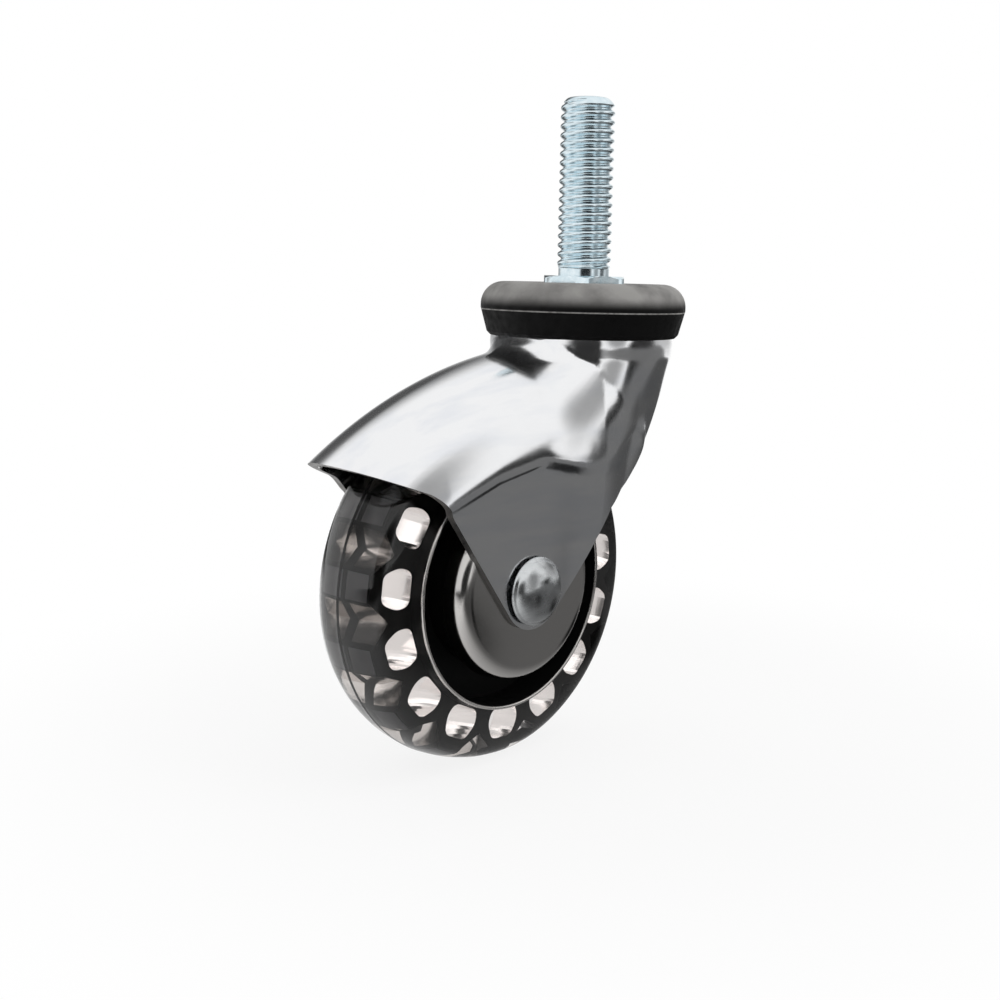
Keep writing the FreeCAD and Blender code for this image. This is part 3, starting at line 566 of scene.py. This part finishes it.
def drawn_sheet(name, low, high, step):
    """Mesh the sheet between the field and its inward offset, then move every point exactly onto the
    nearer of its two skins."""
    axes = [np.arange(a, b + step, step) for a, b in zip(low, high)]
    values = np.abs(hood_field(np.stack(np.meshgrid(*axes, indexing="ij"), -1)) + sheet / 2) - sheet / 2
    for axis in range(3):
        edge = [slice(None)] * 3
        for side in (0, -1):
            edge[axis] = side
            values[tuple(edge)] = step
    points, faces = surface_net(values, low, step)
    skin = np.where(hood_field(points) > -sheet / 2, 0.0, -sheet)
    probe, least_slope = 0.01, 0.3
    for _ in range(4):
        off = hood_field(points) - skin
        slope = np.stack([
            (hood_field(points + d) - hood_field(points - d)) / (2 * probe)
            for d in np.eye(3) * probe], -1)
        points = points - slope * (off / np.maximum((slope ** 2).sum(-1), least_slope))[:, None]
    return piece_of(name, points, faces.tolist())


def arc_points(start, end, radius, turn, steps):
    """Points from start up to, not including, end, on an arc."""
    start, end = np.array(start, float), np.array(end, float)
    centre = arc_centre(start, end, radius, turn)
    first = math.atan2(*(start - centre)[::-1])
    sweep = (math.atan2(*(end - centre)[::-1]) - first) % (2 * math.pi)
    sweep -= 2 * math.pi if turn < 0 else 0
    angles = [first + sweep * i / steps for i in range(steps)]
    return [centre + radius * np.array([math.cos(angle), math.sin(angle)]) for angle in angles]


def side_block(name, outline, half):
    """A solid with an outline in the XZ plane, padded evenly to both sides."""
    shape = bmesh.new()
    face = shape.faces.new([shape.verts.new((x * mm, -half * mm, z * mm)) for x, z in outline])
    grown = bmesh.ops.extrude_face_region(shape, geom=[face])
    moved = [item for item in grown["geom"] if isinstance(item, bmesh.types.BMVert)]
    bmesh.ops.translate(shape, vec=(0, 2 * half * mm, 0), verts=moved)
    bmesh.ops.recalc_face_normals(shape, faces=shape.faces)
    mesh = bpy.data.meshes.new(name)
    shape.to_mesh(mesh)
    shape.free()
    return put(name, mesh)


def shear(piece, block):
    """Keep what of a piece lies in a block, give the new edge the block's finish, and drop the block."""
    cut = piece.modifiers.new("shear", "BOOLEAN")
    cut.operation = "INTERSECT"
    cut.object = block
    cut.solver = "EXACT"
    cut.material_mode = "TRANSFER"
    bpy.context.view_layer.update()
    result = bpy.data.meshes.new_from_object(piece.evaluated_get(bpy.context.evaluated_depsgraph_get()))
    piece.modifiers.clear()
    piece.data = result
    bpy.data.objects.remove(block)


wheel_spin = next(joint for joint in frame["joints"] if joint["name"] == "wheel_spin")
axle = np.array([wheel_spin["pos_m"][0], wheel_spin["pos_m"][2]]) / mm
leg_end_radius = 6.4
leg_front_angle, leg_rear_angle = math.radians(36.0), math.radians(39.7)
leg_front_length, leg_rear_length = 21.6, 20.6
beak = np.array([-57.4, -28.8])
beak_edge_slope = 0.38
brow_x, brow_round = -46.6, 10.3
rear_cut = np.array([-3.0, -37.2])
rear_cut_slope = 0.45
block_front_x, block_rear_x, block_half = -86, 43, 20


def on_beak_edge(x):
    """A point on the straight lower edge of the beak."""
    return (x, beak[1] + (beak[0] - x) * beak_edge_slope)


front_foot = axle + leg_end_radius * np.array([-math.cos(leg_front_angle), -math.sin(leg_front_angle)])
rear_foot = axle + leg_end_radius * np.array([math.cos(leg_rear_angle), -math.sin(leg_rear_angle)])
front_top = front_foot + leg_front_length * np.array([-math.sin(leg_front_angle), math.cos(leg_front_angle)])
rear_top = rear_foot + leg_rear_length * np.array([math.sin(leg_rear_angle), math.cos(leg_rear_angle)])
rear_cut_end = rear_cut[1] + (block_rear_x - rear_cut[0]) * rear_cut_slope
side_view = [(block_front_x, 0), on_beak_edge(block_front_x)]
side_view += arc_points(on_beak_edge(brow_x), front_top, brow_round, -1, 12)
side_view += [front_top]
side_view += arc_points(front_foot, rear_foot, leg_end_radius, 1, 24)
side_view += [rear_foot, rear_top, rear_cut, (block_rear_x, rear_cut_end), (block_rear_x, 0)]

chrome = finish("polished_chrome", Base_Color=(0.86, 0.865, 0.88, 1), Metallic=1.0, Roughness=0.1)
duller_below = along(chrome, "Z", -0.030, -0.038, 0.10, 0.13)
smudged = combine(chrome, "MULTIPLY_ADD", mottle(chrome, 350, 6), 0.08, duller_below)
chrome.node_tree.links.new(smudged, chrome.node_tree.nodes["Principled BSDF"].inputs["Roughness"])
spread(chrome, mottle(chrome, 330, 4, (0.1, 1, 0.8)), "Base Color",
       (0.80, 0.815, 0.845), (0.87, 0.875, 0.885), 0.34, 0.54)
raise_grain(chrome, mottle(chrome, 1500, 3, (0.25, 1, 1)), 0.000004, 0.5)
sheared = finish("sheared_edge", Base_Color=(0.16, 0.155, 0.15, 1), Metallic=0.8, Roughness=0.4)
spread(sheared, mottle(sheared, 1200, 5), "Roughness", 0.25, 0.55)
raise_grain(sheared, mottle(sheared, 1500, 4), 0.00004, 0.6)

grid_low, grid_high, grid_step = (-62.0, -17.0, -60.0), (18.5, 17.0, -4.5), 0.55
hood = drawn_sheet("chromed_hood", grid_low, grid_high, grid_step)
hood.data.materials.append(chrome)
side_view_block = side_block("side_view", side_view, block_half)
side_view_block.data.materials.append(sheared)
shear(hood, side_view_block)
smooth(hood, 40)
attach(hood, "fork")
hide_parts("hooded_fork")

# Axle: a zinc-plated steel rivet through both legs. Outside each leg it has a stepped, domed head, which is
# scuffed where it was peened, and burnished since.
rivet_half = [
    (0.0, 15.9), (1.4, 15.83), (2.6, 15.6), (3.6, 15.26), (4.4, 14.85), (4.9, 14.45), (5.12, 14.15),
    (5.22, 13.98), (5.5, 13.88), (5.6, 13.7), (5.6, 13.5), (3.0, 13.5)]


def spun_ring(name, outline, steps, smooth_angle=50):
    """Turn a closed (radius, side) outline about the axle."""
    angles = np.linspace(0, 2 * np.pi, steps, endpoint=False)
    count = len(outline)
    points = [(axle[0] + r * math.cos(a), y, axle[1] + r * math.sin(a)) for a in angles for r, y in outline]
    faces = []
    for i in range(steps):
        here, there = i * count, (i + 1) % steps * count
        for j in range(count):
            k = (j + 1) % count
            faces.append((here + j, here + k, there + k, there + j))
    ring = piece_of(name, points, faces)
    smooth(ring, smooth_angle)
    return ring


def to_left(outline):
    """The same (radius, side) outline on the left of the wheel."""
    return [(r, -y) for r, y in outline]


burnished = finish("burnished_zinc", Base_Color=(0.55, 0.57, 0.58, 1), Metallic=1.0, Roughness=0.22)
spread(burnished, mottle(burnished, 300, 4, (1, 0.3, 1.6)), "Base Color",
       (0.46, 0.47, 0.48), (0.64, 0.66, 0.67), 0.35, 0.62)
spread(burnished, mottle(burnished, 600, 5), "Roughness", 0.14, 0.34)
raise_grain(burnished, mottle(burnished, 500, 4, (1, 0.3, 1.6)), 0.00003, 0.4)
rivet = spun_ring("axle_rivet_peened", to_left(rivet_half) + rivet_half[::-1], 96, 60)
rivet.data.materials.append(burnished)
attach(rivet, "fork")
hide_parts("axle_rivet")

# Cover cups: pressed from sheet steel with a satin finish, one on each side of the hub, and held on the
# axle between leg and spacer. Each is rolled over into a deep rim.
cup_outline = [
    (3.0, 11.97), (12.4, 11.97), (13.0, 11.93), (13.6, 11.78), (14.2, 11.44), (14.62, 10.98), (14.9, 10.4),
    (15.02, 9.8), (15.12, 9.1), (15.36, 8.05), (14.6, 8.05), (14.1, 10.0), (12.9, 11.2), (3.0, 11.2)]
satin = finish("satin_steel", Base_Color=(0.56, 0.545, 0.53, 1), Metallic=1.0, Roughness=0.16)
spread(satin, mottle(satin, 500, 6), "Roughness", 0.12, 0.18)
raise_grain(satin, mottle(satin, 4000), 0.000006, 0.5)
for node, outline in (("left_cover_cup", to_left(cup_outline)), ("right_cover_cup", cup_outline[::-1])):
    cup = spun_ring(node + "_rolled", outline, 144)
    cup.data.materials.append(satin)
    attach(cup, "fork")
    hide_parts(node)

# Wheel core: one moulding of black nylon, with the bearings pressed into it. Its round hub carries a flat
# rim that is cut through by fifteen windows, and notched between them from outside, so that it ends in teeth.
hub_half = [
    (9.6, 1.5), (11.0, 1.5), (11.0, 9.0), (13.5, 9.0), (14.1, 3.0), (19.74, 3.0), (19.78, 8.6), (19.95, 8.8),
    (20.3, 8.8), (20.42, 8.4)]
nylon = finish("black_nylon", Base_Color=(0.005, 0.005, 0.005, 1), Roughness=0.45, Specular_IOR_Level=0.12)
spread(nylon, mottle(nylon, 800, 6), "Roughness", 0.35, 0.55)
raise_grain(nylon, mottle(nylon, 2500), 0.00001, 0.4)
hub = spun_ring("nylon_hub", hub_half[::-1] + to_left(hub_half), 144, 30)
hub.data.materials.append(nylon)
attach(hub, "wheel")
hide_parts("wheel_core")

rim_bore = 20.2
rim_half = 5.1
window_count = 15
window_turn = math.radians(18.2)
window = [(20.5, -2.6), (22.8, -3.4), (25.7, -2.3), (25.7, 2.3), (22.8, 3.4), (20.5, 2.6)]
window_round = 1.1
tooth = [(26.6, 2.7), (27.7, 2.2), (27.7, -2.2), (26.6, -2.7)]
notch_radius = 24.5


def rounded(corners, radius, steps=4):
    """Round each corner of a closed outline, by at most nearly half of the sides that meet there."""
    corners = np.array(corners, float)
    round_outline = []
    for i, corner in enumerate(corners):
        ends = []
        for other in (corners[i - 1], corners[(i + 1) % len(corners)]):
            span = other - corner
            length = np.linalg.norm(span)
            ends.append(corner + span / length * min(radius, length * 0.45))
        for j in range(steps + 1):
            t = j / steps
            round_outline.append((1 - t) ** 2 * ends[0] + 2 * t * (1 - t) * corner + t * t * ends[1])
    return np.array(round_outline)


def circle(centre, radius, steps):
    angles = np.linspace(0, 2 * math.pi, steps, endpoint=False)
    return [(centre[0] + radius * math.cos(a), centre[1] + radius * math.sin(a)) for a in angles]


def on_rim(outline, step):
    """Turn an outline of (radius, across) points to a place on the rim, counted in windows."""
    turn = -(window_turn + 2 * math.pi * step / window_count)
    r, a = np.array(outline, float).T
    return np.stack([r * math.cos(turn) - a * math.sin(turn), r * math.sin(turn) + a * math.cos(turn)], -1)


def notch_bottom(step):
    """The deepest point of the notch that follows a window."""
    return on_rim([(notch_radius, 0)], step + 0.5)[0]


def flat_plate(name, outlines, half):
    """A plate across the axle with holes: a flat curve of closed outlines, thickened to both sides."""
    drawing = bpy.data.curves.new(name, "CURVE")
    drawing.dimensions = "2D"
    drawing.fill_mode = "BOTH"
    drawing.extrude = half
    for outline in outlines:
        line = drawing.splines.new("POLY")
        line.points.add(len(outline) - 1)
        line.use_cyclic_u = True
        for point, (x, z) in zip(line.points, outline):
            point.co = (axle[0] + x, axle[1] + z, 0, 1)
    sketch = put(name, drawing)
    bpy.context.view_layer.update()
    mesh = bpy.data.meshes.new_from_object(sketch.evaluated_get(bpy.context.evaluated_depsgraph_get()))
    bpy.data.objects.remove(sketch)
    mesh.transform(Matrix.Rotation(math.radians(90), 4, "X") @ Matrix.Scale(mm, 4))
    return put(name, mesh)


teeth = []
for step in range(window_count):
    teeth += list(on_rim(tooth, step)) + [notch_bottom(step)]
windows = [on_rim(rounded(window, window_round), step) for step in range(window_count)]
rim = flat_plate("nylon_rim", [teeth, circle((0, 0), rim_bore, 120)] + windows, rim_half)
rim.data.materials.append(nylon)
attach(rim, "wheel")

# Tread: clear, faintly smoked urethane, moulded round the whole rim so that it fills the windows and the
# notches. A fine parting line stands out at its crest.
tread_crest = 30.0
tread_half = [
    (20.32, 8.5), (24.0, 8.0), (26.6, 7.4), (27.7, 6.9), (28.5, 6.15), (29.2, 4.6), (29.7, 2.8), (29.92, 1.0),
    (29.95, 0.15)]
tread = spun_ring("smoke_tread", to_left(tread_half) + [(tread_crest, 0.0)] + tread_half[::-1], 180)
smoke = finish("smoke_urethane", Base_Color=(0.8, 0.775, 0.76, 1), Roughness=0.02,
               Transmission_Weight=1.0, IOR=1.5, Specular_IOR_Level=0.2)
spread(smoke, mottle(smoke, 300, 4), "Roughness", 0.0, 0.04)
raise_grain(smoke, mottle(smoke, 160, 2), 0.00004, 0.4)
tread.data.materials.append(smoke)
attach(tread, "wheel")
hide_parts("tread")

# Cell linings: where the urethane has let go of the core it mirrors the light. Each window and each notch
# is lined with a bright, slightly wavy film that lies just off the core's walls.
window_middle = np.array([23.1, 0])
lining_inset = 0.02
notch_mouth = (26.68, 2.72)
film_lift = 0.06
film_low, film_high = -rim_half + 0.2, rim_half - 0.2
film_gap_low, film_gap_high = -0.7, 0.9


def wall_strips(name, lines, bands, skin):
    """Walls that follow open or closed (x, z) lines across the axle, between the two sides of each band."""
    points, faces = [], []
    for line, closed in lines:
        for low, high in bands:
            start, count = len(points), len(line)
            for y in (low, high):
                points += [(axle[0] + x, y, axle[1] + z) for x, z in line]
            for i in range(count if closed else count - 1):
                j = (i + 1) % count
                faces.append((start + i, start + j, start + count + j, start + count + i))
    strips = piece_of(name, points, faces)
    strips.data.materials.append(skin)
    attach(strips, "wheel")


film = finish("bright_film", Base_Color=(0.93, 0.9, 0.89, 1), Metallic=1.0, Roughness=0.14)
raise_grain(film, mottle(film, 180, 2), 0.00012, 0.4)
inner_window = rounded(np.array(window) + (window_middle - np.array(window)) * lining_inset, window_round)
window_lines = [(on_rim(inner_window, step), True) for step in range(window_count)]
wall_strips("window_linings", window_lines, [(-rim_half, rim_half)], film)

notch_film = finish("notch_film", Base_Color=(0.6, 0.565, 0.545, 1), Metallic=1.0, Roughness=0.2)
spread(notch_film, mottle(notch_film, 90, 2), "Base Color", (0.38, 0.35, 0.33), (0.72, 0.69, 0.67), 0.35, 0.6)
raise_grain(notch_film, mottle(notch_film, 260, 2), 0.0003, 0.6)
notch_lines = []
for step in range(window_count):
    left = on_rim([(notch_mouth[0], -notch_mouth[1])], step)[0]
    right = on_rim([notch_mouth], step + 1)[0]
    bottom = notch_bottom(step) * (notch_radius + film_lift) / notch_radius
    notch_lines.append(([left, bottom, right], False))
wall_strips("notch_linings", notch_lines, [(film_low, film_gap_low), (film_gap_high, film_high)], notch_film)

# Tooth faces: the ends of the rim's teeth, moulded in nylon with the core. They lie close under the clear
# tread, and show through it as smooth grey blocks, parted in the middle. The grey is a painted sheen: the
# black nylon is drawn lighter here for the light that its smooth faces reflect.
tooth_face = [(27.76, 2.1), (27.8, 0), (27.76, -2.1)]
face_low, face_high = -rim_half + 0.3, rim_half - 0.3
face_gap = 0.5
# Painted sheen: a dark grey stands in for the reflection on the black nylon's smooth faces.
painted_tooth_sheen = finish("painted_tooth_sheen", Base_Color=(0.085, 0.085, 0.09, 1), Roughness=0.5)
spread(painted_tooth_sheen, mottle(painted_tooth_sheen, 120, 3), "Base Color",
       (0.03, 0.03, 0.033), (0.08, 0.08, 0.085), 0.35, 0.65)
raise_grain(painted_tooth_sheen, mottle(painted_tooth_sheen, 300, 3), 0.00005, 0.4)
face_lines = [(on_rim(tooth_face, step), False) for step in range(window_count)]
wall_strips("tooth_faces", face_lines, [(face_low, -face_gap), (face_gap, face_high)], painted_tooth_sheen)

# Parting line: the halves of the tread's mould met round the middle of the wheel. A thin dark seam was left
# there, just under the surface of the urethane.
seam_outline = [(29.3, -0.12), (29.85, -0.09), (29.85, 0.09), (29.3, 0.12)]
seam = spun_ring("tread_seam", seam_outline, 180)
seam.data.materials.append(nylon)
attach(seam, "wheel")

# Lip beads: on each side the inner edge of the urethane curls over the core in the mould. It ends there as
# a thin glossy bead that catches the light like metal.
bead_middle, bead_radius = (20.1, 8.62), 0.3
bead = circle(bead_middle, bead_radius, 10)
bead_gloss = finish("bead_gloss", Base_Color=(0.62, 0.6, 0.58, 1), Metallic=1.0, Roughness=0.2)
spread(bead_gloss, mottle(bead_gloss, 240, 4), "Roughness", 0.12, 0.4)
for name, outline in (("left_lip_bead", to_left(bead)), ("right_lip_bead", bead[::-1])):
    ring = spun_ring(name, outline, 144)
    ring.data.materials.append(bead_gloss)
    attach(ring, "wheel")
